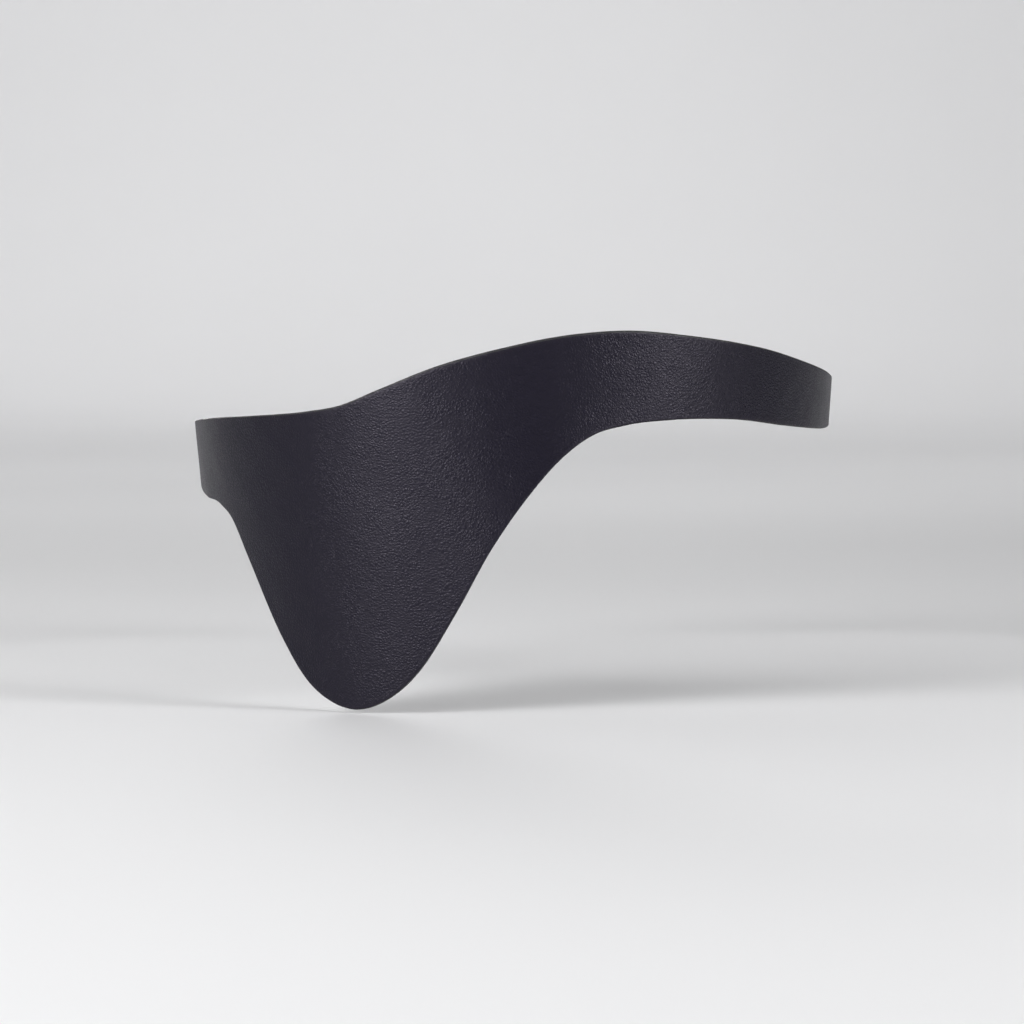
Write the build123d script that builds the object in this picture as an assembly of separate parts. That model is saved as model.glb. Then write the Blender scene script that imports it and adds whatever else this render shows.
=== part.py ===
from build123d import *
import os
from math import asin, cos, exp, log, radians, sin

# A leather eye patch: one die-cut leather band that goes right round the head. It is wide
# over the wearer's right eye, narrow over the left brow, the temples and the back, and its
# two ends overlap at the back, where press studs close it.
#
# Millimetres, +Z up. The wearer looks along -Y, so their left side is +X. The origin is the
# centre of the loop, level with the band's lower edge over the left temple. A place on the
# band is an angle round the head, 0 at the front and positive towards +X, and a height.

# ---- the loop round the head -------------------------------------------------------------
HALF_WIDTH = 81.6           # outer face of the band at height 0
HALF_DEPTH = 93.0
SIDE_FULLNESS = 0.03        # how much the sides of the loop fill out beyond an ellipse
BACK_FLATNESS = 0.04        # how much the back is flatter than the front
APEX = Vector(20, 0, -1000) # every straight line of the bent sheet runs to this point

# ---- the sheet ---------------------------------------------------------------------------
LEATHER = 1.3               # thickness of the grain leather
LINING = 0.7                # thickness of the suede lining bonded behind it
SHEET = LEATHER + LINING

# ---- the cut outline, as (angle, height) -------------------------------------------------
TOP_EDGE = [
    (-190, 10.5), (-180, 8.6), (-166, 6.4), (-153, 4.3), (-138, 1.6), (-120, 0.4),
    (-100, 0.7), (-80, 2.4), (-62, 3.9), (-45, 5.2), (-34, 6.5), (-27, 8.2),
    (-20, 12.2), (-11, 17.6), (-1, 22.0), (8, 24.9), (17, 26.0), (29, 24.6),
    (43, 21.8), (58, 18.0), (72, 15.2), (88, 13.0), (112, 12.6), (134, 13.2),
    (151, 13.6), (165, 11.4), (180, 8.6), (194, 6.4),
]
BOTTOM_EDGE = [
    (-190, -4.3), (-180, -6.3), (-166, -8.5), (-153, -9.8), (-138, -9.9), (-120, -10.6),
    (-100, -12.0), (-85, -14.6), (-72, -16.6), (-62, -18.0), (-57, -21.4), (-52, -31.0),
    (-44, -48.6), (-38, -59.0), (-33, -63.6), (-27.5, -65.2), (-22, -62.7), (-16, -55.6),
    (-9, -40.4), (-3, -24.6), (2, -13.4), (7, -4.4), (12, 1.3), (17, 3.5),
    (25, 4.7), (36, 4.6), (52, 2.4), (70, 0.8), (90, 0.9), (113, 1.5),
    (135, 2.0), (151, -0.2), (163, -2.3), (180, -6.3), (194, -8.5),
]
TAB_CORNER = 7.0            # radius of the two corners at each end of the band
STATION_STEP = 3.0          # degrees between the stations that the edges pass through
SECTOR = 60                 # degrees of the band that one face covers, about

# ---- the inner side of the lobe, which stands off the nose and is flatter than the loop ----
FLARE_FROM = -17.5          # angle where it starts to leave the loop
FLARE_FADE_FROM = 2.0       # angles between which it comes back to the loop
FLARE_TO = 24.0
FLARE_TOP = 2.6             # height below which it leaves the loop, and how gradually
FLARE_BLEND = 5.0
FLARE_SLANT = 0.5           # sideways run of the flattened part for each unit down
FLARE_CURVATURE = 0.009     # curvature taken out of the loop there, per mm
ARC_PER_DEGREE = 1.56       # length along the front of the loop for one degree

# ---- the press studs, heights measured out from the band's outer face ---------------------
STUD_PITCH = 18.0           # spacing of the studs along the band
FIRST_STUD = -12.0          # place of the first stud, from the middle of the back towards +X
STUDS = 4
SOCKETS = 2
SEAT = 0.15                 # how deep each flange is pressed into the sheet
STUD_FLANGE_R = 4.7
STUD_FLANGE = 0.6
NUB_R = 2.6
NUB_NECK_R = 2.2
NUB_TOP = 2.2
POST_R = 1.5
POST_HEAD_R = 4.6
POST_HEAD = 0.5
SOCKET_R = 4.8
SOCKET_BORE_R = 2.95
SOCKET_HEIGHT = 2.2
SOCKET_WEB = 0.3            # thickness of the socket's plate against the flap
SOCKET_GAP = 0.15           # free space between the stud's flange and the socket's mouth
SPRING_WIRE_R = 0.3
SPRING_R = 2.75             # radius of the spring ring, to the middle of the wire
SPRING_OPENING = 50         # degrees left open in the ring
CAP_R = 5.0
CAP_HEIGHT = 2.0
CAP_POST_R = 1.2
HOLE_PLAY = 0.05            # radial play of a post in its hole

# ---- the flap, which is the end of the band that lies on top at the back ------------------
FLAP_LIFT = STUD_FLANGE + SOCKET_GAP + SOCKET_HEIGHT - SEAT + SHEET
LIFT_START = -139           # angle where the arm starts to rise over the other end
LIFT_END = -168             # angle where it has risen by the whole lift
FOLD_ANGLE = -157           # angle of the line about which the flap peels open
FLAP_TIP = -190
TAB_TIP = 194               # end of the other arm, which lies underneath
FOLD_GAP = 0.06             # degrees between each piece and the fold line


def loop_point(angle):
    """Point of the outer face at height 0."""
    t = radians(angle)
    x = HALF_WIDTH * (sin(t) + SIDE_FULLNESS * sin(3 * t)) / (1 - SIDE_FULLNESS)
    y = -HALF_DEPTH * (cos(t) + BACK_FLATNESS * (cos(2 * t) - 1))
    return Vector(x, y, 0)


def normal_at(angle):
    """Outward normal of the sheet, the same all along one straight line of it."""
    step = 0.01
    along = loop_point(angle + step) - loop_point(angle - step)
    return along.cross(loop_point(angle) - APEX).normalized()


def lift_at(angle):
    """How far the band stands out from the loop, to pass over its other end."""
    share = min(max((angle - LIFT_START) / (LIFT_END - LIFT_START), 0), 1)
    return FLAP_LIFT * share * share * (3 - 2 * share)


def flare_at(angle, height):
    """How far the inner side of the lobe stands out from the loop."""
    along = max(angle - FLARE_FROM, 0) * ARC_PER_DEGREE
    reach = FLARE_SLANT * FLARE_BLEND * log(1 + exp((FLARE_TOP - height) / FLARE_BLEND))
    bulge = min(along, reach) ** 2 / 2 + reach * max(along - reach, 0)
    past = min(max((angle - FLARE_FADE_FROM) / (FLARE_TO - FLARE_FADE_FROM), 0), 1)
    return FLARE_CURVATURE * bulge * (1 - past * past * (3 - 2 * past))


def band_point(angle, height, depth=0.0):
    """Point of the band, at a depth below its outer face."""
    scale = (height - APEX.Z) / -APEX.Z
    on_loop = APEX + (loop_point(angle) - APEX) * scale
    return on_loop + normal_at(angle) * (lift_at(angle) + flare_at(angle, height) - depth)


def slope_at(edge, i):
    """Slope of an outline at one of its points."""
    if i in (0, len(edge) - 1):
        j = min(i, len(edge) - 2)
        return (edge[j + 1][1] - edge[j][1]) / (edge[j + 1][0] - edge[j][0])
    before = edge[i][0] - edge[i - 1][0]
    after = edge[i + 1][0] - edge[i][0]
    slope_before = (edge[i][1] - edge[i - 1][1]) / before
    slope_after = (edge[i + 1][1] - edge[i][1]) / after
    return (slope_before * after + slope_after * before) / (before + after)


def height_at(edge, angle):
    """Height of an outline, as a smooth curve through its points."""
    i = max(j for j in range(len(edge) - 1) if edge[j][0] <= angle or j == 0)
    (a0, z0), (a1, z1) = edge[i], edge[i + 1]
    span = a1 - a0
    u = (angle - a0) / span
    ends = z0 * (1 + 2 * u) * (1 - u) ** 2 + z1 * u * u * (3 - 2 * u)
    return ends + span * u * (1 - u) * (slope_at(edge, i) * (1 - u) - slope_at(edge, i + 1) * u)


def middle_at(angle):
    """Height of the middle line of the band."""
    return (height_at(TOP_EDGE, angle) + height_at(BOTTOM_EDGE, angle)) / 2


def angle_at(distance):
    """Angle of the place that is this far along the back from its middle, towards +X."""
    angle, walked, step = 180.0, 0.0, -0.05 if distance > 0 else 0.05
    while walked < abs(distance):
        walked += (loop_point(angle + step) - loop_point(angle)).length
        angle += step
    return angle


def sheet_layer(first, last, outer_depth, inner_depth):
    """One layer of the band between two angles, as a solid bent sheet."""
    count = round((last - first) / STATION_STEP)
    angles = [first + (last - first) * i / count for i in range(count + 1)]
    places = [i / count for i in range(count + 1)]
    sectors = max(1, round((last - first) / SECTOR))

    def edge_curves(edge, depth):
        points = [band_point(a, height_at(edge, a), depth) for a in angles]
        whole = Edge.make_spline(points, parameters=places)
        return [whole.trim(i / sectors, (i + 1) / sectors) for i in range(sectors)]

    corners = [(TOP_EDGE, outer_depth), (BOTTOM_EDGE, outer_depth),
               (BOTTOM_EDGE, inner_depth), (TOP_EDGE, inner_depth)]
    curves = [edge_curves(edge, depth) for edge, depth in corners]
    faces = []
    for side in range(4):
        for edge_a, edge_b in zip(curves[side], curves[(side + 1) % 4]):
            faces.append(Face.make_surface_from_curves(edge_a, edge_b))
    for angle in (first, last):
        rim = [band_point(angle, height_at(edge, angle), depth) for edge, depth in corners]
        faces.append(Face(Wire.make_polygon(rim, close=True)))
    return Solid(Shell(faces))


def face_frame(angle, height):
    """Frame on the outer face of the band: Z straight out of the leather, Y up along it."""
    up = (loop_point(angle) - APEX).normalized()
    out = normal_at(angle)
    return Plane(band_point(angle, height), x_dir=up.cross(out), z_dir=out)


def tab_corners(angle, towards_tip):
    """What is cut away to round the two corners at an end of the band."""
    reach = 4 * TAB_CORNER
    tip = face_frame(angle, middle_at(angle))
    tool = Pos(-towards_tip * TAB_CORNER / 2, 0, 0) * Box(TAB_CORNER, reach, reach)
    half = (height_at(TOP_EDGE, angle) - height_at(BOTTOM_EDGE, angle)) / 2
    inset = -towards_tip * TAB_CORNER
    kept = Pos(inset / 2, 0, 0) * Box(TAB_CORNER, 2 * (half - TAB_CORNER), 2 * reach)
    for side in (-1, 1):
        kept += Pos(inset, side * (half - TAB_CORNER), 0) * Cylinder(TAB_CORNER, 2 * reach)
    return tip.location * (tool - kept)


def turned(points):
    """A solid of revolution about Z from its half section, given as (radius, height)."""
    section = Polygon(*points, align=None)
    return revolve(Plane.XZ * section, Axis.Z)


def disc(radius, low, high):
    """A plain cylinder between two heights, for holes and seats."""
    return Pos(0, 0, (low + high) / 2) * Cylinder(radius, high - low)


def stud():
    """Male half of a press stud: a flange with a necked hollow nub."""
    wall, floor, chamfer = 0.3, 0.4, 0.15
    neck_top, bulge = NUB_TOP - 0.8, NUB_TOP - 0.6
    bore = POST_R + HOLE_PLAY
    inside = NUB_NECK_R - wall
    return turned([
        (bore, -SEAT), (STUD_FLANGE_R, -SEAT), (STUD_FLANGE_R, STUD_FLANGE - chamfer),
        (STUD_FLANGE_R - chamfer, STUD_FLANGE), (NUB_NECK_R, STUD_FLANGE), (NUB_NECK_R, neck_top),
        (NUB_R, bulge), (NUB_R, NUB_TOP - 0.1), (NUB_R - 0.1, NUB_TOP),
        (inside, NUB_TOP), (inside, floor), (bore, floor),
    ])


def stud_post():
    """Rivet that holds a stud: a flat head against the lining and a rolled hollow shank."""
    back, chamfer, wall = SEAT - SHEET, 0.15, 0.5
    floor, roll = 0.4, 0.35
    return turned([
        (0, back - POST_HEAD), (POST_HEAD_R - chamfer, back - POST_HEAD),
        (POST_HEAD_R, back - POST_HEAD + chamfer), (POST_HEAD_R, back), (POST_R, back),
        (POST_R, floor), (POST_R + roll, floor), (POST_R + roll, floor + roll / 2),
        (POST_R, floor + roll), (POST_R - wall, floor + roll), (POST_R - wall, back), (0, back),
    ])


def snap_socket():
    """Female half: a cup with a groove for its spring and a plate against the flap."""
    mouth = STUD_FLANGE + SOCKET_GAP
    top = mouth + SOCKET_HEIGHT
    chamfer = 0.3
    groove_low, groove_high = mouth + 0.2, mouth + 0.2 + 2 * SPRING_WIRE_R + 0.05
    groove_r = SPRING_R + SPRING_WIRE_R + 0.4
    hole = CAP_POST_R + HOLE_PLAY
    return turned([
        (SOCKET_BORE_R, mouth), (SOCKET_R - chamfer, mouth), (SOCKET_R, mouth + chamfer),
        (SOCKET_R, top), (hole, top), (hole, top - SOCKET_WEB), (SOCKET_BORE_R, top - SOCKET_WEB),
        (SOCKET_BORE_R, groove_high), (groove_r, groove_high), (groove_r, groove_low),
        (SOCKET_BORE_R, groove_low),
    ])


def socket_spring():
    """Open wire ring in the socket's groove, which closes under the nub's bulge."""
    middle = STUD_FLANGE + SOCKET_GAP + 0.2 + SPRING_WIRE_R + 0.025
    wire = Plane.XZ * Pos(SPRING_R, middle) * Circle(SPRING_WIRE_R)
    ring = revolve(wire, Axis.Z, revolution_arc=360 - SPRING_OPENING)
    return Rot(0, 0, SPRING_OPENING / 2) * ring


def snap_cap():
    """Domed cap on the flap's grain side, with the post that is spread inside the socket."""
    base = FLAP_LIFT - SEAT
    top = base + CAP_HEIGHT
    rim, bore, bore_end = 0.35, 0.6, base - 0.5
    plate = STUD_FLANGE + SOCKET_GAP + SOCKET_HEIGHT - SOCKET_WEB
    spread_r, spread = 1.9, 0.2
    rise = CAP_HEIGHT - rim
    dome_r = (CAP_R ** 2 + rise ** 2) / (2 * rise)
    half_turn = asin(CAP_R / dome_r) / 2
    dome_middle = (dome_r * sin(half_turn), top - dome_r * (1 - cos(half_turn)))
    section = Polyline((0, top), (0, bore_end), (bore, bore_end), (bore, plate - spread),
                       (spread_r, plate - spread), (spread_r, plate), (CAP_POST_R, plate),
                       (CAP_POST_R, base), (CAP_R, base), (CAP_R, base + rim))
    section += ThreePointArc((CAP_R, base + rim), dome_middle, (0, top))
    return revolve(Plane.XZ * make_face(section), Axis.Z)


def stud_cuts():
    """Hole and seats that a stud and its rivet need in the band."""
    hole = disc(POST_R + HOLE_PLAY, -2 * SHEET, SHEET)
    stud_seat = disc(STUD_FLANGE_R, -SEAT, SHEET)
    return hole + stud_seat + disc(POST_HEAD_R, -2 * SHEET, SEAT - SHEET)


def socket_cuts():
    """Hole and seats that a cap and its socket need in the flap."""
    low, high = FLAP_LIFT - 2 * SHEET, FLAP_LIFT + SHEET
    hole = disc(CAP_POST_R + HOLE_PLAY, low, high)
    return hole + disc(CAP_R, FLAP_LIFT - SEAT, high) + disc(SOCKET_R, low, FLAP_LIFT - SHEET + SEAT)


def build():
    """All the pieces by name."""
    stud_places = []
    for i in range(STUDS):
        angle = angle_at(FIRST_STUD + i * STUD_PITCH)
        stud_places.append(face_frame(angle, middle_at(angle)).location)

    band_cuts = [tab_corners(TAB_TIP, 1)] + [place * stud_cuts() for place in stud_places]
    flap_cuts = [tab_corners(FLAP_TIP, -1)]
    flap_cuts += [place * socket_cuts() for place in stud_places[:SOCKETS]]

    band = (FOLD_ANGLE + FOLD_GAP, TAB_TIP)
    flap = (FLAP_TIP, FOLD_ANGLE - FOLD_GAP)
    pieces = {
        "leather_shell": sheet_layer(*band, 0, LEATHER) - band_cuts,
        "shell_lining": sheet_layer(*band, LEATHER, SHEET) - band_cuts,
        "flap_leather": sheet_layer(*flap, 0, LEATHER) - flap_cuts,
        "flap_lining": sheet_layer(*flap, LEATHER, SHEET) - flap_cuts,
    }
    for i, place in enumerate(stud_places, 1):
        pieces[f"stud_{i}"] = place * stud()
        pieces[f"stud_post_{i}"] = place * stud_post()
    for i, place in enumerate(stud_places[:SOCKETS], 1):
        pieces[f"snap_cap_{i}"] = place * snap_cap()
        pieces[f"snap_socket_{i}"] = place * snap_socket()
        pieces[f"socket_spring_{i}"] = place * socket_spring()
    return pieces


os.makedirs("parts", exist_ok=True)
for name, piece in build().items():
    export_step(piece, f"parts/{name}.step")

fold_height = middle_at(FOLD_ANGLE)
fold_axis = (loop_point(FOLD_ANGLE) - APEX).normalized()
print("fold line at", band_point(FOLD_ANGLE, fold_height), "along", fold_axis)
for i in range(STUDS):
    angle = angle_at(FIRST_STUD + i * STUD_PITCH)
    print("stud", i + 1, band_point(angle, middle_at(angle)), "facing", normal_at(angle))
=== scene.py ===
from math import cos, pi, radians, sin

import bpy
import numpy as np
from mathutils import Matrix, Vector


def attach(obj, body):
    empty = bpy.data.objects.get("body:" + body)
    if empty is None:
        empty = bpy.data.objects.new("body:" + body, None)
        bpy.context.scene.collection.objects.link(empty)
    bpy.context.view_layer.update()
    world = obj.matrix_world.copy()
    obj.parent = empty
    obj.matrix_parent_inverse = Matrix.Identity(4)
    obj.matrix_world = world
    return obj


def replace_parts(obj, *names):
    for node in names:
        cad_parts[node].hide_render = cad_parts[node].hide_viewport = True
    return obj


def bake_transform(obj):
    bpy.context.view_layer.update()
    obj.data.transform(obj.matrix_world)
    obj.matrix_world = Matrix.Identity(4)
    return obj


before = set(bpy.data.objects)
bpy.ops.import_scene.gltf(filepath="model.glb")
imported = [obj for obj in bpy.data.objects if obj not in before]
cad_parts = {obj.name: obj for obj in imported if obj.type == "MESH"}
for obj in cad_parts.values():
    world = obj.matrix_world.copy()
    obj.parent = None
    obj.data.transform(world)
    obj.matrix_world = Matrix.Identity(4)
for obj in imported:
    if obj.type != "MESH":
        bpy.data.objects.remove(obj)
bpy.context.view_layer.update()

# The leather eye patch, dressed. Metres, +Z up, the wearer looks along -Y and their left is
# +X. A place on the band is an angle round the head (degrees, 0 at the front, positive
# towards +X) and a height, as in the CAD part.

MM = 0.001

# ---- the loop and the sheet, as in the CAD part --------------------------------------------
HALF_WIDTH = 81.6 * MM
HALF_DEPTH = 93.0 * MM
SIDE_FULLNESS = 0.03
BACK_FLATNESS = 0.04
APEX = np.array([0.020, 0.0, -1.0])
LEATHER = 1.3 * MM
LINING = 0.7 * MM
SHEET = LEATHER + LINING

# ---- the cut outline, as (angle, height in mm) ---------------------------------------------
TOP_EDGE = [
    (-190, 10.5), (-180, 8.6), (-166, 6.4), (-153, 4.3), (-138, 1.6), (-120, 0.4),
    (-100, 0.7), (-80, 2.4), (-62, 3.9), (-45, 5.2), (-34, 6.5), (-27, 8.2),
    (-20, 12.2), (-11, 17.6), (-1, 22.0), (8, 24.9), (17, 26.0), (29, 24.6),
    (43, 21.8), (58, 18.0), (72, 15.2), (88, 13.0), (112, 12.6), (134, 13.2),
    (151, 13.6), (165, 11.4), (180, 8.6), (194, 6.4),
]
BOTTOM_EDGE = [
    (-190, -4.3), (-180, -6.3), (-166, -8.5), (-153, -9.8), (-138, -9.9), (-120, -10.6),
    (-100, -12.0), (-85, -14.6), (-72, -16.6), (-62, -18.0), (-57, -21.4), (-52, -31.0),
    (-44, -48.6), (-38, -59.0), (-33, -63.6), (-27.5, -65.2), (-22, -62.7), (-16, -55.6),
    (-9, -40.4), (-3, -24.6), (2, -13.4), (7, -4.4), (12, 1.3), (17, 3.5),
    (25, 4.7), (36, 4.6), (52, 2.4), (70, 0.8), (90, 0.9), (113, 1.5),
    (135, 2.0), (151, -0.2), (163, -2.3), (180, -6.3), (194, -8.5),
]
TAB_CORNER = 7.0 * MM

# ---- where the lobe stands off the nose, its inner side flatter than the loop --------------
FLARE_FROM, FLARE_FADE_FROM, FLARE_TO = -17.5, 2.0, 24.0
ARC_PER_DEGREE = 1.56 * MM
FLARE_TOP, FLARE_BLEND = 2.6 * MM, 5.0 * MM
FLARE_SLANT = 0.5
FLARE = 9.0

# ---- the press studs, as in the CAD part ---------------------------------------------------
STUDS, SOCKETS = 4, 2
SEAT = 0.15 * MM
STUD_FLANGE_R, STUD_FLANGE = 4.7 * MM, 0.6 * MM
NUB_R, NUB_NECK_R, NUB_TOP = 2.6 * MM, 2.2 * MM, 2.2 * MM
POST_R, POST_HEAD_R, POST_HEAD = 1.5 * MM, 4.6 * MM, 0.5 * MM
SOCKET_R, SOCKET_BORE_R, SOCKET_HEIGHT = 4.8 * MM, 2.95 * MM, 2.2 * MM
SOCKET_WEB, SOCKET_GAP = 0.3 * MM, 0.15 * MM
SPRING_WIRE_R, SPRING_R, SPRING_OPENING = 0.3 * MM, 2.75 * MM, 50
CAP_R, CAP_HEIGHT, CAP_POST_R = 5.0 * MM, 2.0 * MM, 1.2 * MM
STUD_PITCH, FIRST_STUD = 18.0 * MM, -12.0 * MM
FLAT_AROUND_STUD, FLAT_FADE = 6.0 * MM, 6.0 * MM
DIMPLE_FADE = 1.1 * MM

# ---- the overlap at the back; angles in degrees --------------------------------------------
FLAP_LIFT = STUD_FLANGE + SOCKET_GAP + SOCKET_HEIGHT - SEAT + SHEET
LIFT_START, LIFT_END = -139, -168           # where the upper end climbs over the under end
FLAP_TIP, TAB_TIP = -190, 194               # the tips of the upper end and the under end
SEAM_ANGLE = -144           # where the band's mesh ends and the flap's mesh begins

# ---- the leather's and the lining's rounded edges, and the leather's unevenness ------------
LEATHER_ROUNDS = (0.38 * MM, 0.10 * MM)     # radii at the outer face and at the inner face
LINING_ROUNDS = (0.06 * MM, 0.22 * MM)
LINING_INSET = 0.14 * MM
EDGE_WEAR_WIDTH = 2.2 * MM
WAVES = [(0.10, 46.0, 0.3), (0.05, 21.0, 1.9), (0.018, 8.0, 4.1)]   # height, length in mm; start
WAVE_SHARE = 0.6            # how much of those heights the leather has

# ---- how finely things are meshed ----------------------------------------------------------
STATION = 0.55              # degrees between stations along the band
ROWS = 44                   # rows across each face
EDGE_TURNS = np.radians(np.array([0.0, 30.0, 60.0, 90.0]))      # points round each rounded edge
PAINTED = 5                 # how many mesh faces across a cut edge are painted
CORNER_TURNS = np.radians(np.arange(3, 90, 4))                  # stations round an end's corner
SQUARE_END = 0.012          # degrees between an end cut square and the station beside it
BACK_STEPS = 9000           # steps along a quarter of the loop, to measure along the back
LATHE_STEPS = 72            # points round a turned piece
ROLL_STEPS = 4              # points along a rolled corner of its section
WIRE_STEPS, RING_STEPS = 16, 61             # points round the spring's wire, and along its ring


# ============================ the bent sheet, as formulas ===================================

def loop_points(angles):
    """Points of the outer face at height 0, one row each."""
    t = np.radians(angles)
    x = HALF_WIDTH * (np.sin(t) + SIDE_FULLNESS * np.sin(3 * t)) / (1 - SIDE_FULLNESS)
    y = -HALF_DEPTH * (np.cos(t) + BACK_FLATNESS * (np.cos(2 * t) - 1))
    return np.stack([x, y, 0 * t], axis=-1)


def normals_at(angles):
    """Outward normals of the sheet, the same all along each straight line of it."""
    step = 0.01                 # degrees
    along = loop_points(angles + step) - loop_points(angles - step)
    out = np.cross(along, loop_points(angles) - APEX)
    return out / np.linalg.norm(out, axis=-1, keepdims=True)


def lifts_at(angles):
    """How far the band stands out from the loop, to pass over its other end."""
    share = np.clip((angles - LIFT_START) / (LIFT_END - LIFT_START), 0, 1)
    return FLAP_LIFT * share * share * (3 - 2 * share)


def flare_at(angles, heights):
    """How far the inner side of the lobe stands out from the loop."""
    along = np.clip(angles - FLARE_FROM, 0, None) * ARC_PER_DEGREE
    below = FLARE_BLEND * np.log1p(np.exp((FLARE_TOP - heights) / FLARE_BLEND))
    reach = FLARE_SLANT * below
    bulge = np.minimum(along, reach) ** 2 / 2 + reach * np.clip(along - reach, 0, None)
    past = np.clip((angles - FLARE_FADE_FROM) / (FLARE_TO - FLARE_FADE_FROM), 0, 1)
    return FLARE * bulge * (1 - past * past * (3 - 2 * past))


def heights_at(edge, angles):
    """Heights of an outline, as a smooth curve through its points, in metres."""
    at, height = np.array(edge, float).T
    gap = np.diff(at)
    rise = np.diff(height) / gap
    slope = np.concatenate([rise[:1], (rise[:-1] * gap[1:] + rise[1:] * gap[:-1])
                            / (gap[:-1] + gap[1:]), rise[-1:]])
    i = np.clip(np.searchsorted(at, angles, side="right") - 1, 0, len(at) - 2)
    u = (angles - at[i]) / gap[i]
    ends = height[i] * (1 + 2 * u) * (1 - u) ** 2 + height[i + 1] * u * u * (3 - 2 * u)
    bend = gap[i] * u * (1 - u) * (slope[i] * (1 - u) - slope[i + 1] * u)
    return (ends + bend) * MM


def band_points(angles, heights, lift):
    """Points that stand `lift` out from the loop's outer face; all arrays broadcast."""
    scale = (heights - APEX[2]) / -APEX[2]
    on_loop = APEX + (loop_points(angles) - APEX) * scale[..., None]
    return on_loop + normals_at(angles) * (lift + flare_at(angles, heights))[..., None]


def angle_at(distance):
    """Angle of the place that is this far along the back from its middle, towards +X."""
    angles = np.linspace(90, 270, 2 * BACK_STEPS + 1)
    steps = np.linalg.norm(np.diff(loop_points(angles), axis=0), axis=1)
    walked = np.concatenate([[0], np.cumsum(steps)])
    walked = walked[BACK_STEPS] - walked
    return float(np.interp(distance, walked[::-1], angles[::-1]))


def snap_frame(i):
    """Matrix of press stud i: its Z points straight out of the leather's outer face."""
    angle = np.array(angle_at(FIRST_STUD + i * STUD_PITCH))
    middle = (heights_at(TOP_EDGE, angle) + heights_at(BOTTOM_EDGE, angle)) / 2
    up = loop_points(angle) - APEX
    up = up / np.linalg.norm(up)
    out = normals_at(angle)
    origin = band_points(angle, middle, np.array(0.0))
    stud_frame = Matrix.Identity(4)
    for column, axis in enumerate((np.cross(up, out), up, out, origin)):
        for row in range(3):
            stud_frame[row][column] = float(axis[row])
    return stud_frame


SNAP_FRAMES = [snap_frame(i) for i in range(STUDS)]


# ============================ meshes ========================================================

def make_object(name, points, faces):
    """A new smooth-shaded mesh object in the scene."""
    mesh = bpy.data.meshes.new(name)
    mesh.from_pydata([tuple(p) for p in points], [], [tuple(int(i) for i in f) for f in faces])
    mesh.validate()
    mesh.shade_smooth()
    obj = bpy.data.objects.new(name, mesh)
    bpy.context.scene.collection.objects.link(obj)
    return obj


def waviness(points):
    """How far the leather stands off the ideal sheet: long shallow waves, as on a worn strap."""
    p = points / MM
    wave = np.zeros(len(p))
    for size, length, start in WAVES:
        k = 2 * pi / length
        wave += size * np.sin(k * p[:, 0] + 1.7 * start + 0.8 * np.sin(0.7 * k * p[:, 2] + start))
        wave += size * 0.7 * np.sin(k * (0.8 * p[:, 1] - 0.6 * p[:, 2]) + 2.3 * start)
    return wave * MM * WAVE_SHARE


def near_snaps(points, count, radius, fade):
    """1 at the press studs, falling to 0 over `fade` outside `radius`."""
    share = np.zeros(len(points))
    at_back = points[:, 1] > 0
    for stud_frame in SNAP_FRAMES[:count]:
        centre, out = np.array(stud_frame.translation), np.array(stud_frame.col[2][:3])
        away = points - centre
        flat = away - np.outer(away @ out, out)
        u = np.clip((np.linalg.norm(flat, axis=1) - radius) / fade, 0, 1)
        share = np.maximum(share, at_back * (1 - u * u * (3 - 2 * u)))
    return share


def section(height, inset, outer, inner, round_outer, round_inner):
    """Closed cross-section of one layer: distance below the top edge, and depth, all round.

    It runs down the outer face, round the bottom edge, up the inner face and round the top."""
    to_side, from_face = EDGE_TURNS[1:], EDGE_TURNS[:-1]
    top, bottom = inset, height - inset
    face = np.linspace(0, 1, ROWS)
    face = 0.5 * (face + (1 - np.cos(pi * face)) / 2)
    outer_y = top + round_outer + (bottom - top - 2 * round_outer) * face
    inner_y = top + round_inner + (bottom - top - 2 * round_inner) * face[::-1]
    y, d = [outer_y], [np.full(ROWS, outer)]
    y.append(bottom - round_outer + round_outer * np.sin(to_side))
    d.append(outer + round_outer * (1 - np.cos(to_side)))
    y.append(bottom - round_inner + round_inner * np.cos(from_face))
    d.append(inner - round_inner * (1 - np.sin(from_face)))
    y.append(inner_y)
    d.append(np.full(ROWS, inner))
    y.append(top + round_inner * (1 - np.sin(to_side)))
    d.append(inner - round_inner * (1 - np.cos(to_side)))
    y.append(top + round_outer - round_outer * np.cos(from_face))
    d.append(outer + round_outer * (1 - np.sin(from_face)))
    return np.concatenate(y), np.concatenate(d)


def stations(first, last, round_first, round_last):
    """Angles along the band, closer together at its ends: rounded corners need a smooth
    outline, and a station close beside a square end keeps its edge crisp."""
    angles = list(np.linspace(first, last, round((last - first) / STATION) + 1))
    corner = np.degrees(TAB_CORNER / HALF_DEPTH)
    fine = corner * (1 - np.cos(CORNER_TURNS))
    for tip, inward, is_round in ((first, 1, round_first), (last, -1, round_last)):
        if is_round:
            angles = [a for a in angles if abs(a - tip) > corner] + list(tip + inward * fine)
            angles.append(tip)
        else:
            angles.append(tip + inward * SQUARE_END)
    return np.array(sorted(angles))


def corner_share(angles, first, last, round_first, round_last):
    """How much the outline is drawn in at each station, to round an end's corners."""
    inset = np.zeros(len(angles))
    for rounded, tip in ((round_first, first), (round_last, last)):
        if rounded:
            away = np.abs(np.radians(angles - tip)) * HALF_DEPTH
            inside = np.clip(TAB_CORNER - away, 0, TAB_CORNER)
            inset = np.maximum(inset, TAB_CORNER - np.sqrt(TAB_CORNER ** 2 - inside ** 2))
    return inset


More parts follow.
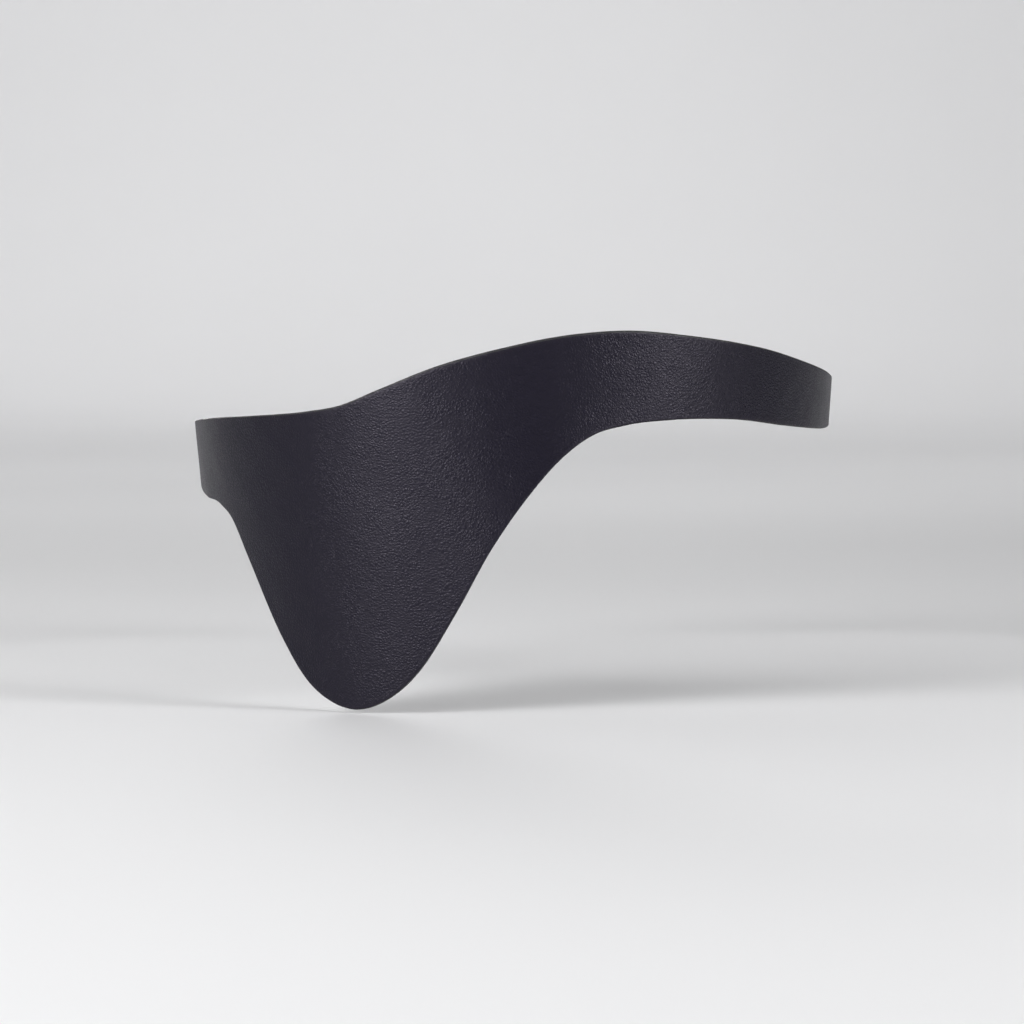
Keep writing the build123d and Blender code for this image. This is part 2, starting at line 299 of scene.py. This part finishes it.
def bent_layer(name, first, last, ends, outer, inner, rounds, inset, materials):
    """One layer of the band between two angles as a closed mesh with rounded cut edges."""
    angles = stations(first, last, *ends)
    drawn = corner_share(angles, first, last, *ends)
    tops = heights_at(TOP_EDGE, angles) - drawn
    bottoms = heights_at(BOTTOM_EDGE, angles) + drawn
    rings, down = [], []
    for angle, top, bottom in zip(angles, tops, bottoms):
        below_top, depth = section(top - bottom, inset, outer, inner, *rounds)
        around = np.full(len(depth), angle)
        rings.append(band_points(around, top - below_top, lifts_at(around) - depth))
        down.append(below_top)
    count, per = len(rings), len(rings[0])
    points = np.concatenate(rings)
    out = np.repeat(normals_at(angles), per, axis=0)
    depths = np.tile(depth, count)
    snaps = SOCKETS if first < SEAM_ANGLE else STUDS
    fixed = near_snaps(points, snaps, FLAT_AROUND_STUD, FLAT_FADE)
    points = points + out * (waviness(points) * (1 - fixed))[:, None]
    pressed = near_snaps(points, snaps, STUD_FLANGE_R, DIMPLE_FADE) * SEAT
    sign = np.where(depths < SHEET / 2, -1.0, 1.0)
    points = points + out * (pressed * sign)[:, None]
    faces = []
    for s in range(count - 1):
        for k in range(per):
            n = (k + 1) % per
            faces.append((s * per + k, s * per + n, (s + 1) * per + n, (s + 1) * per + k))
    faces.append(tuple(range(per))[::-1])
    faces.append(tuple((count - 1) * per + k for k in range(per)))
    obj = make_object(name, points, faces)
    for material in materials:
        obj.data.materials.append(material)
    edge_faces = np.zeros(per, bool)
    edge_faces[ROWS:ROWS + PAINTED] = True
    edge_faces[per - PAINTED:] = True
    index = [0] * len(obj.data.polygons)
    for i in range((count - 1) * per):
        index[i] = int(edge_faces[i % per])
    index[-1] = index[-2] = 1
    obj.data.polygons.foreach_set("material_index", index)
    for cap in list(obj.data.polygons)[-2:]:
        cap.use_smooth = False
    mark_edges(obj, np.concatenate(down), np.repeat(tops - bottoms, per))
    return obj


def mark_edges(obj, below_top, whole):
    """Stores how near each point is to a cut edge, for the wear in the material."""
    near = np.minimum(below_top, whole - below_top)
    share = np.clip(1 - near / EDGE_WEAR_WIDTH, 0, 1)
    attribute = obj.data.attributes.new("edge_wear", "FLOAT", "POINT")
    attribute.data.foreach_set("value", share.astype(np.float32))


def rounded(profile, radius):
    """A profile with each inner corner replaced by a small arc-like curve."""
    points = [np.array(profile[0], float)]
    for a, b, c in zip(profile[:-2], profile[1:-1], profile[2:]):
        a, b, c = (np.array(p, float) for p in (a, b, c))
        before, after = np.linalg.norm(a - b), np.linalg.norm(c - b)
        r = min(radius, 0.45 * before, 0.45 * after)
        start, end = b + (a - b) * r / before, b + (c - b) * r / after
        for u in np.linspace(0, 1, ROLL_STEPS + 1):
            points.append((1 - u) ** 2 * start + 2 * u * (1 - u) * b + u * u * end)
    points.append(np.array(profile[-1], float))
    return points


def turned(name, profile, stud_frame, material, radius=0.06 * MM, closed=True):
    """A lathe-turned piece from its half section, standing in a press stud's frame.

    A section that isn't closed starts and ends on the axis."""
    section_points = rounded(list(profile) + ([profile[0]] if closed else []), radius)
    if closed:
        section_points = section_points[:-1]
    per = len(section_points)
    points, faces = [], []
    on_axis = [p[0] < 1e-7 for p in section_points]
    index = {}
    for s in range(LATHE_STEPS):
        t = 2 * pi * s / LATHE_STEPS
        for k, (r, h) in enumerate(section_points):
            if on_axis[k] and s:
                index[s, k] = index[0, k]
                continue
            index[s, k] = len(points)
            points.append(stud_frame @ Vector((r * cos(t), r * sin(t), h)))
    spans = per if closed else per - 1
    for s in range(LATHE_STEPS):
        next_s = (s + 1) % LATHE_STEPS
        for k in range(spans):
            next_k = (k + 1) % per
            corners = [index[s, k], index[next_s, k], index[next_s, next_k], index[s, next_k]]
            loop = [c for j, c in enumerate(corners) if c not in corners[:j]]
            if len(loop) > 2:
                faces.append(loop)
    obj = make_object(name, points, faces)
    obj.data.materials.append(material)
    return obj


# ============================ materials =====================================================

class Nodes:
    """A short way to write a material's node tree. Scales are per metre of the object."""

    def __init__(self, name, colour, roughness, **sockets):
        self.material = bpy.data.materials.new(name)
        self.material.use_nodes = True
        self.tree = self.material.node_tree
        self.shader = self.tree.nodes["Principled BSDF"]
        self.shader.inputs["Base Color"].default_value = (*colour, 1)
        self.shader.inputs["Roughness"].default_value = roughness
        for key, value in sockets.items():
            self.shader.inputs[key.replace("_", " ")].default_value = value
        self.place = self.add("ShaderNodeTexCoord").outputs["Object"]

    def add(self, kind, **values):
        node = self.tree.nodes.new(kind)
        for key, value in values.items():
            setattr(node, key, value)
        return node

    def link(self, source, target):
        self.tree.links.new(source, target)

    def noise(self, scale, detail=2.0, roughness=0.5, place=None):
        node = self.add("ShaderNodeTexNoise")
        node.inputs["Scale"].default_value = scale
        node.inputs["Detail"].default_value = detail
        node.inputs["Roughness"].default_value = roughness
        self.link(place or self.place, node.inputs["Vector"])
        return node.outputs["Fac"]

    def cells(self, scale, feature, place):
        node = self.add("ShaderNodeTexVoronoi", feature=feature)
        node.inputs["Scale"].default_value = scale
        self.link(place, node.inputs["Vector"])
        return node.outputs["Distance"]

    def warped(self, scale, amount):
        """Object coordinates pushed about by noise, so that cells aren't straight-sided."""
        node = self.add("ShaderNodeTexNoise")
        node.inputs["Scale"].default_value = scale
        node.inputs["Detail"].default_value = 2.0
        self.link(self.place, node.inputs["Vector"])
        centred = self.add("ShaderNodeVectorMath", operation="SUBTRACT")
        self.link(node.outputs["Color"], centred.inputs[0])
        centred.inputs[1].default_value = (0.5, 0.5, 0.5)
        scaled = self.add("ShaderNodeVectorMath", operation="SCALE")
        self.link(centred.outputs[0], scaled.inputs[0])
        scaled.inputs["Scale"].default_value = amount
        moved = self.add("ShaderNodeVectorMath", operation="ADD")
        self.link(self.place, moved.inputs[0])
        self.link(scaled.outputs[0], moved.inputs[1])
        return moved.outputs[0]

    def ramp(self, source, low, high, to_low=0.0, to_high=1.0):
        node = self.add("ShaderNodeMapRange", interpolation_type="SMOOTHSTEP")
        for key, value in (("From Min", low), ("From Max", high), ("To Min", to_low),
                           ("To Max", to_high)):
            node.inputs[key].default_value = value
        self.link(source, node.inputs["Value"])
        return node.outputs["Result"]

    def maths(self, operation, a, b):
        node = self.add("ShaderNodeMath", operation=operation)
        for socket, value in zip(node.inputs, (a, b)):
            if isinstance(value, (int, float)):
                socket.default_value = value
            else:
                self.link(value, socket)
        return node.outputs[0]

    def mix(self, share, colour_a, colour_b):
        node = self.add("ShaderNodeMix", data_type="RGBA")
        self.link(share, node.inputs["Factor"])
        for socket, colour in ((node.inputs["A"], colour_a), (node.inputs["B"], colour_b)):
            if isinstance(colour, tuple):
                socket.default_value = (*colour, 1)
            else:
                self.link(colour, socket)
        return node.outputs["Result"]

    def attribute(self, name):
        return self.add("ShaderNodeAttribute", attribute_name=name).outputs["Fac"]

    def bump(self, height, distance, strength=1.0, under=None):
        node = self.add("ShaderNodeBump")
        node.inputs["Distance"].default_value = distance
        node.inputs["Strength"].default_value = strength
        self.link(height, node.inputs["Height"])
        if under is not None:
            self.link(under, node.inputs["Normal"])
        return node.outputs["Normal"]

    def finish(self, colour=None, roughness=None, normal=None):
        if colour is not None:
            self.link(colour, self.shader.inputs["Base Color"])
        if roughness is not None:
            self.link(roughness, self.shader.inputs["Roughness"])
        if normal is not None:
            self.link(normal, self.shader.inputs["Normal"])
        return self.material


def grain_leather():
    """Black pebble-grained leather: rounded pebbles about 0.7 mm across, creases between."""
    n = Nodes("grain_leather", (0.0095, 0.0082, 0.0138), 0.38)
    n.shader.inputs["Specular IOR Level"].default_value = 0.22
    n.shader.inputs["Specular Tint"].default_value = (0.92, 0.86, 1.0, 1)
    pebbles, small_pebbles = 1480, 3300         # per metre
    warped = n.warped(640, 0.0008)
    pebble = n.ramp(n.cells(pebbles, "DISTANCE_TO_EDGE", warped), 0.0, 0.34)
    dome = n.ramp(n.cells(pebbles, "F1", warped), 0.0, 0.85, 1.0, 0.0)
    small = n.ramp(n.cells(small_pebbles, "F1", warped), 0.0, 0.75, 1.0, 0.0)
    fine = n.noise(5200, 3.0, 0.6)
    patchy = n.ramp(n.noise(170, 3.0, 0.55), 0.3, 0.7, 0.65, 1.0)
    cells = n.maths("MULTIPLY", n.maths("ADD", pebble, n.maths("MULTIPLY", dome, 0.7)), patchy)
    grit = n.maths("ADD", n.maths("MULTIPLY", small, 0.4), n.maths("MULTIPLY", fine, 0.25))
    broad = n.bump(n.noise(75, 2.0), 0.00020, 0.5)
    normal = n.bump(n.maths("ADD", cells, grit), 0.000036, 1.0, broad)
    wear = n.ramp(n.attribute("edge_wear"), 0.35, 1.0)
    # painted shade: the creases between pebbles are coloured darker than the pebble tops
    tone = n.mix(pebble, (0.0047, 0.0041, 0.0085), (0.0064, 0.0056, 0.0115))
    tone = n.mix(n.maths("MULTIPLY", wear, 0.35), tone, (0.020, 0.018, 0.024))
    gloss = n.ramp(n.maths("ADD", n.maths("MULTIPLY", pebble, 0.6),
                           n.maths("MULTIPLY", patchy, 0.4)), 0.0, 1.0, 0.44, 0.29)
    return n.finish(tone, gloss, normal)


def cut_edge():
    """The painted cut edge: matt black with fibres showing through."""
    n = Nodes("cut_edge", (0.010, 0.0095, 0.011), 0.62)
    fibres = n.noise(2600, 4.0, 0.7)
    broad = n.noise(420, 3.0)
    tone = n.mix(n.ramp(fibres, 0.45, 0.75), (0.009, 0.0085, 0.010), (0.030, 0.028, 0.030))
    normal = n.bump(n.maths("ADD", fibres, broad), 0.00010, 0.6)
    return n.finish(tone, n.ramp(broad, 0.3, 0.7, 0.5, 0.72), normal)


def suede_lining():
    """Black microfibre suede: a matt nap, brushed in patches, with a soft sheen."""
    n = Nodes("suede_lining", (0.022, 0.021, 0.023), 0.92)
    n.shader.inputs["Sheen Weight"].default_value = 0.35
    n.shader.inputs["Sheen Roughness"].default_value = 0.45
    n.shader.inputs["Sheen Tint"].default_value = (0.55, 0.53, 0.58, 1)
    n.shader.inputs["Specular IOR Level"].default_value = 0.2
    nap = n.noise(3400, 5.0, 0.75)
    brushed = n.noise(95, 4.0, 0.6, n.warped(60, 0.012))
    tufts = n.noise(900, 3.0, 0.6)
    tone = n.mix(n.ramp(brushed, 0.35, 0.65), (0.017, 0.016, 0.019), (0.025, 0.0235, 0.027))
    tone = n.mix(n.ramp(nap, 0.5, 0.8), tone, (0.045, 0.042, 0.048))
    height = n.maths("ADD", nap, n.maths("MULTIPLY", tufts, 0.8))
    return n.finish(tone, n.ramp(brushed, 0.3, 0.7, 0.97, 0.84), n.bump(height, 0.00016, 0.8))


def plated_metal(name, colour, rough):
    """Plated metal with fine handling scratches and smudges."""
    n = Nodes(name, colour, rough, Metallic=1.0)
    smudge = n.noise(260, 4.0, 0.6)
    stretch = n.add("ShaderNodeMapping")
    stretch.inputs["Scale"].default_value = (900, 900, 9000)
    stretch.inputs["Rotation"].default_value = (0.5, 0.3, 0.2)
    n.link(n.place, stretch.inputs["Vector"])
    scratches = n.noise(1.0, 4.0, 0.7, stretch.outputs["Vector"])
    brighter = tuple(min(1.0, c * 1.15) for c in colour)
    darker = tuple(c * 0.88 for c in colour)
    tone = n.mix(n.ramp(smudge, 0.3, 0.7), darker, brighter)
    gloss = n.maths("ADD", n.ramp(smudge, 0.25, 0.75, rough - 0.06, rough + 0.12),
                    n.maths("MULTIPLY", scratches, 0.06))
    return n.finish(tone, gloss, n.bump(scratches, 0.000012, 0.5))


GRAIN = grain_leather()
EDGE = cut_edge()
SUEDE = suede_lining()
BLACK_NICKEL = plated_metal("black_nickel", (0.15, 0.145, 0.15), 0.24)
SPRING_STEEL = plated_metal("spring_steel", (0.56, 0.55, 0.54), 0.22)


# ============================ the leather and its lining ====================================

def dress_band():
    """The unbroken band from where the flap's mesh begins, and its lining."""
    leather = bent_layer("band_leather", SEAM_ANGLE, TAB_TIP, (False, True), 0.0, LEATHER,
                         LEATHER_ROUNDS, 0.0, [GRAIN, EDGE])
    lining = bent_layer("band_lining", SEAM_ANGLE, TAB_TIP, (False, True), LEATHER, SHEET,
                        LINING_ROUNDS, LINING_INSET, [SUEDE, EDGE])
    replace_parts(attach(leather, "band"), "leather_shell")
    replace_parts(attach(lining, "band"), "shell_lining")
    return leather, lining


def dress_flap():
    """The end that lies on top at the back, from its tip to the seam with the band, and its
    lining.
    """
    leather = bent_layer("flap_leather_skin", FLAP_TIP, SEAM_ANGLE, (True, False), 0.0, LEATHER,
                         LEATHER_ROUNDS, 0.0, [GRAIN, EDGE])
    lining = bent_layer("flap_lining_skin", FLAP_TIP, SEAM_ANGLE, (True, False), LEATHER, SHEET,
                        LINING_ROUNDS, LINING_INSET, [SUEDE, EDGE])
    for obj, node in ((leather, "flap_leather"), (lining, "flap_lining")):
        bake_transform(obj)
        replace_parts(obj, node)
    return leather, lining


# ============================ the press studs ===============================================

def dress_stud(i, stud_frame):
    """Male half on the under end, with the rivet that holds it."""
    floor, wall = 0.4 * MM, 0.3 * MM
    inside = NUB_NECK_R - wall
    stud = turned(f"stud_{i}_body", [
        (POST_R, -SEAT), (STUD_FLANGE_R - 0.1 * MM, -SEAT), (STUD_FLANGE_R, 0.12 * MM),
        (STUD_FLANGE_R, 0.42 * MM), (STUD_FLANGE_R - 0.2 * MM, STUD_FLANGE),
        (STUD_FLANGE_R - 0.7 * MM, STUD_FLANGE), (STUD_FLANGE_R - 0.9 * MM, 0.46 * MM),
        (NUB_NECK_R + 0.35 * MM, 0.44 * MM), (NUB_NECK_R + 0.02 * MM, STUD_FLANGE),
        (NUB_NECK_R, NUB_TOP - 0.8 * MM), (NUB_R, NUB_TOP - 0.55 * MM),
        (NUB_R, NUB_TOP - 0.2 * MM), (NUB_R - 0.22 * MM, NUB_TOP), (inside, NUB_TOP),
        (inside, floor), (POST_R, floor)], stud_frame, BLACK_NICKEL)
    back, roll = SEAT - SHEET, 0.35 * MM
    rivet = turned(f"stud_{i}_rivet", [
        (0, back - POST_HEAD), (POST_HEAD_R * 0.55, back - POST_HEAD + 0.02 * MM),
        (POST_HEAD_R - 0.5 * MM, back - POST_HEAD + 0.10 * MM),
        (POST_HEAD_R, back - POST_HEAD + 0.34 * MM), (POST_HEAD_R, back), (POST_R, back),
        (POST_R, floor), (POST_R + roll, floor), (POST_R + roll, floor + roll * 0.5),
        (POST_R + roll * 0.3, floor + roll), (POST_R - 0.25 * MM, floor + roll * 0.8),
        (POST_R - 0.5 * MM, floor), (POST_R - 0.5 * MM, back), (0, back)],
        stud_frame, BLACK_NICKEL, closed=False)
    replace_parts(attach(stud, "band"), f"stud_{i}")
    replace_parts(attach(rivet, "band"), f"stud_post_{i}")


def dress_socket(i, stud_frame):
    """Female half on the flap: the cap outside, the socket inside with its spring."""
    base = FLAP_LIFT - SEAT
    mouth = STUD_FLANGE + SOCKET_GAP
    top = mouth + SOCKET_HEIGHT
    plate = top - SOCKET_WEB
    cap = turned(f"cap_{i}", [
        (0, base + CAP_HEIGHT), (CAP_R * 0.38, base + CAP_HEIGHT * 0.955),
        (CAP_R * 0.66, base + CAP_HEIGHT * 0.80), (CAP_R * 0.84, base + CAP_HEIGHT * 0.56),
        (CAP_R * 0.90, base + CAP_HEIGHT * 0.36), (CAP_R * 0.93, base + CAP_HEIGHT * 0.33),
        (CAP_R * 0.985, base + CAP_HEIGHT * 0.27), (CAP_R, base + CAP_HEIGHT * 0.17),
        (CAP_R * 0.985, base), (CAP_POST_R, base), (CAP_POST_R, plate),
        (CAP_POST_R + 0.7 * MM, plate), (CAP_POST_R + 0.7 * MM, plate - 0.1 * MM),
        (CAP_POST_R + 0.2 * MM, plate - 0.2 * MM), (0.6 * MM, plate - 0.2 * MM),
        (0.6 * MM, base - 0.5 * MM), (0, base - 0.5 * MM)],
        stud_frame, BLACK_NICKEL, radius=0.3 * MM, closed=False)
    groove = mouth + 0.2 * MM
    groove_top = groove + 2 * SPRING_WIRE_R + 0.05 * MM
    groove_r = SPRING_R + SPRING_WIRE_R + 0.4 * MM
    socket = turned(f"socket_{i}", [
        (SOCKET_BORE_R, mouth + 0.12 * MM), (SOCKET_BORE_R + 0.3 * MM, mouth),
        (SOCKET_R - 0.9 * MM, mouth), (SOCKET_R - 0.7 * MM, mouth + 0.1 * MM),
        (SOCKET_R - 0.3 * MM, mouth + 0.1 * MM), (SOCKET_R, mouth + 0.35 * MM),
        (SOCKET_R, top - 0.25 * MM), (SOCKET_R - 0.2 * MM, top), (CAP_POST_R, top),
        (CAP_POST_R, plate), (SOCKET_BORE_R, plate), (SOCKET_BORE_R, groove_top),
        (groove_r, groove_top), (groove_r, groove), (SOCKET_BORE_R, groove)],
        stud_frame, BLACK_NICKEL)
    spring = spring_ring(f"spring_{i}", groove + SPRING_WIRE_R + 0.025 * MM, stud_frame)
    for obj, node in ((cap, "snap_cap"), (socket, "snap_socket")):
        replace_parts(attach(obj, "flap"), f"{node}_{i}")
    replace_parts(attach(spring, "flap"), f"socket_spring_{i}")


def spring_ring(name, height, stud_frame):
    """Open ring of round wire with domed ends."""
    half = radians(SPRING_OPENING / 2)
    past = np.array([1.0, 0.9, 0.7, 0.35])      # places along a domed end, as shares of it
    reach, dome = past * SPRING_WIRE_R / SPRING_R, SPRING_WIRE_R * np.sqrt(1.0001 - past ** 2)
    turns = np.linspace(half, 2 * pi - half, RING_STEPS)
    angles = np.concatenate([half - reach, turns, 2 * pi - half + reach[::-1]])
    radii = np.concatenate([dome, np.full(RING_STEPS, SPRING_WIRE_R), dome[::-1]])
    points, faces = [], []
    for t, r in zip(angles, radii):
        for k in range(WIRE_STEPS):
            a = 2 * pi * k / WIRE_STEPS
            far = SPRING_R + r * cos(a)
            points.append(stud_frame @ Vector((far * cos(t), far * sin(t), height + r * sin(a))))
    last = (len(angles) - 1) * WIRE_STEPS
    for this_ring in range(0, last, WIRE_STEPS):
        next_ring = this_ring + WIRE_STEPS
        for k in range(WIRE_STEPS):
            n = (k + 1) % WIRE_STEPS
            faces.append((this_ring + k, this_ring + n, next_ring + n, next_ring + k))
    faces.append(tuple(range(WIRE_STEPS))[::-1])
    faces.append(tuple(last + k for k in range(WIRE_STEPS)))
    obj = make_object(name, points, faces)
    obj.data.materials.append(SPRING_STEEL)
    return obj


# ============================ the studio ====================================================

AIM = Vector((0, 0, -0.0215))               # the middle of the picture
CAMERA_DISTANCE, CAMERA_ELEVATION = 1.1, 3.0
LENS, SENSOR = 150.1, 36.0
NEAR, FAR = 0.05, 60

FLOOR_HEIGHT = -0.0660
FLOOR_FRONT, FLOOR_BACK, FLOOR_SIDE = -3.7, 2.4, 3.7
BACKDROP_RADIUS, BACKDROP_TOP = 0.9, 3.2

WORLD_LIGHT = 0.02
SOFTBOXES = [
    # name, azimuth, elevation, distance, width, height, watts
    ("key", -46, 12, 1.5, 0.58, 1.2, 33.0),
    ("fill", 57, 12, 1.5, 0.46, 1.2, 25.0),
    ("overhead", 180, 80, 2.4, 4.0, 2.4, 6.0),
]
BACKDROP_LIGHT = {"width": 1.6, "height": 0.8, "power": 12.0, "spread": 95}
BACKDROP_LIGHT_AT, BACKDROP_LIGHT_TARGET = Vector((-0.15, 1.5, 2.4)), (-0.15, 2.65, 0.15)
BACK_LIGHT = {"width": 0.8, "height": 0.4, "power": 0.6, "spread": 40}
BACK_LIGHT_PLACE = (-168, 14, 1.5)          # azimuth, elevation, distance
WASHES = [
    # lights that face straight down: azimuth, distance, height, width, depth, watts, spread
    (0, 2.7, 1.5, 2.4, 1.8, 13.0, 98),
    (-90, 2.7, 1.5, 1.8, 2.4, 13.0, 98),
    (90, 2.7, 1.5, 1.8, 2.4, 13.0, 98),
    (-165, 1.1, 0.9, 2.8, 0.6, 1.4, 75),
]


def around_aim(azimuth, elevation, distance):
    """A point round the object: azimuth 0 is in front, positive towards +X."""
    a, e = radians(azimuth), radians(elevation)
    return AIM + Vector((sin(a) * cos(e), -cos(a) * cos(e), sin(e))) * distance


def make_camera():
    """The view of the photograph."""
    camera = bpy.data.objects.new("camera", bpy.data.cameras.new("camera"))
    camera.data.lens, camera.data.sensor_width = LENS, SENSOR
    camera.location = around_aim(0, CAMERA_ELEVATION, CAMERA_DISTANCE)
    camera.rotation_euler = (AIM - camera.location).to_track_quat("-Z", "Y").to_euler()
    camera.data.clip_start, camera.data.clip_end = NEAR, FAR
    bpy.context.scene.collection.objects.link(camera)
    bpy.context.scene.camera = camera


def panel(name, location, target, width, height, power, spread=180):
    """A flat soft light that faces a target and isn't seen itself."""
    light = bpy.data.lights.new(name, "AREA")
    light.shape, light.size, light.size_y, light.energy = "RECTANGLE", width, height, power
    light.spread = radians(spread)
    obj = bpy.data.objects.new(name, light)
    obj.location = location
    obj.rotation_euler = (Vector(target) - location).to_track_quat("-Z", "Y").to_euler()
    obj.visible_camera = False
    bpy.context.scene.collection.objects.link(obj)


def make_floor():
    """A pale floor that curves up into a backdrop behind the object."""
    line = [(FLOOR_FRONT, FLOOR_HEIGHT)]
    for t in np.linspace(0, pi / 2, 25):
        line.append((FLOOR_BACK + BACKDROP_RADIUS * sin(t),
                     FLOOR_HEIGHT + BACKDROP_RADIUS * (1 - cos(t))))
    line.append((FLOOR_BACK + BACKDROP_RADIUS, BACKDROP_TOP))
    points = [(x, y, z) for y, z in line for x in (-FLOOR_SIDE, FLOOR_SIDE)]
    faces = [(2 * i, 2 * i + 1, 2 * i + 3, 2 * i + 2) for i in range(len(line) - 1)]
    floor = make_object("floor", points, faces)
    n = Nodes("pale_floor", (0.86, 0.86, 0.87), 0.85)
    n.shader.inputs["Specular IOR Level"].default_value = 0.1
    tone = n.mix(n.noise(3.0), (0.85, 0.85, 0.86), (0.88, 0.88, 0.89))
    floor.data.materials.append(n.finish(tone))


def make_world():
    """Dim soft light from all round, and a pale surround where the camera sees past the floor."""
    world = bpy.data.worlds.new("studio")
    bpy.context.scene.world = world
    world.use_nodes = True
    tree = world.node_tree
    dim = tree.nodes["Background"]
    dim.inputs["Color"].default_value = (0.92, 0.94, 1.0, 1)
    dim.inputs["Strength"].default_value = WORLD_LIGHT
    pale = tree.nodes.new("ShaderNodeBackground")
    pale.inputs["Color"].default_value = (0.74, 0.74, 0.75, 1)
    pale.inputs["Strength"].default_value = 1.0
    path = tree.nodes.new("ShaderNodeLightPath")
    mix = tree.nodes.new("ShaderNodeMixShader")
    tree.links.new(path.outputs["Is Camera Ray"], mix.inputs["Fac"])
    tree.links.new(dim.outputs[0], mix.inputs[1])
    tree.links.new(pale.outputs[0], mix.inputs[2])
    tree.links.new(mix.outputs[0], tree.nodes["World Output"].inputs["Surface"])


def make_studio():
    """The surround, the floor and every light."""
    bpy.context.scene.view_settings.view_transform = "Standard"
    make_world()
    make_floor()
    for name, azimuth, elevation, distance, width, height, power in SOFTBOXES:
        panel(name, around_aim(azimuth, elevation, distance), AIM, width, height, power)
    panel("backdrop_light", BACKDROP_LIGHT_AT, BACKDROP_LIGHT_TARGET, **BACKDROP_LIGHT)
    panel("back_light", around_aim(*BACK_LIGHT_PLACE), AIM, **BACK_LIGHT)
    for azimuth, distance, above, width, depth, power, spread in WASHES:
        below = around_aim(azimuth, 0, distance)
        panel(f"wash_{azimuth}", below + Vector((0, 0, above)), below, width, depth, power, spread)


# ============================ put together ==================================================

make_camera()
make_studio()
band_leather, band_lining = dress_band()
flap_leather, flap_lining = dress_flap()
for number, stud_frame in enumerate(SNAP_FRAMES, 1):
    dress_stud(number, stud_frame)
for number, stud_frame in enumerate(SNAP_FRAMES[:SOCKETS], 1):
    dress_socket(number, stud_frame)
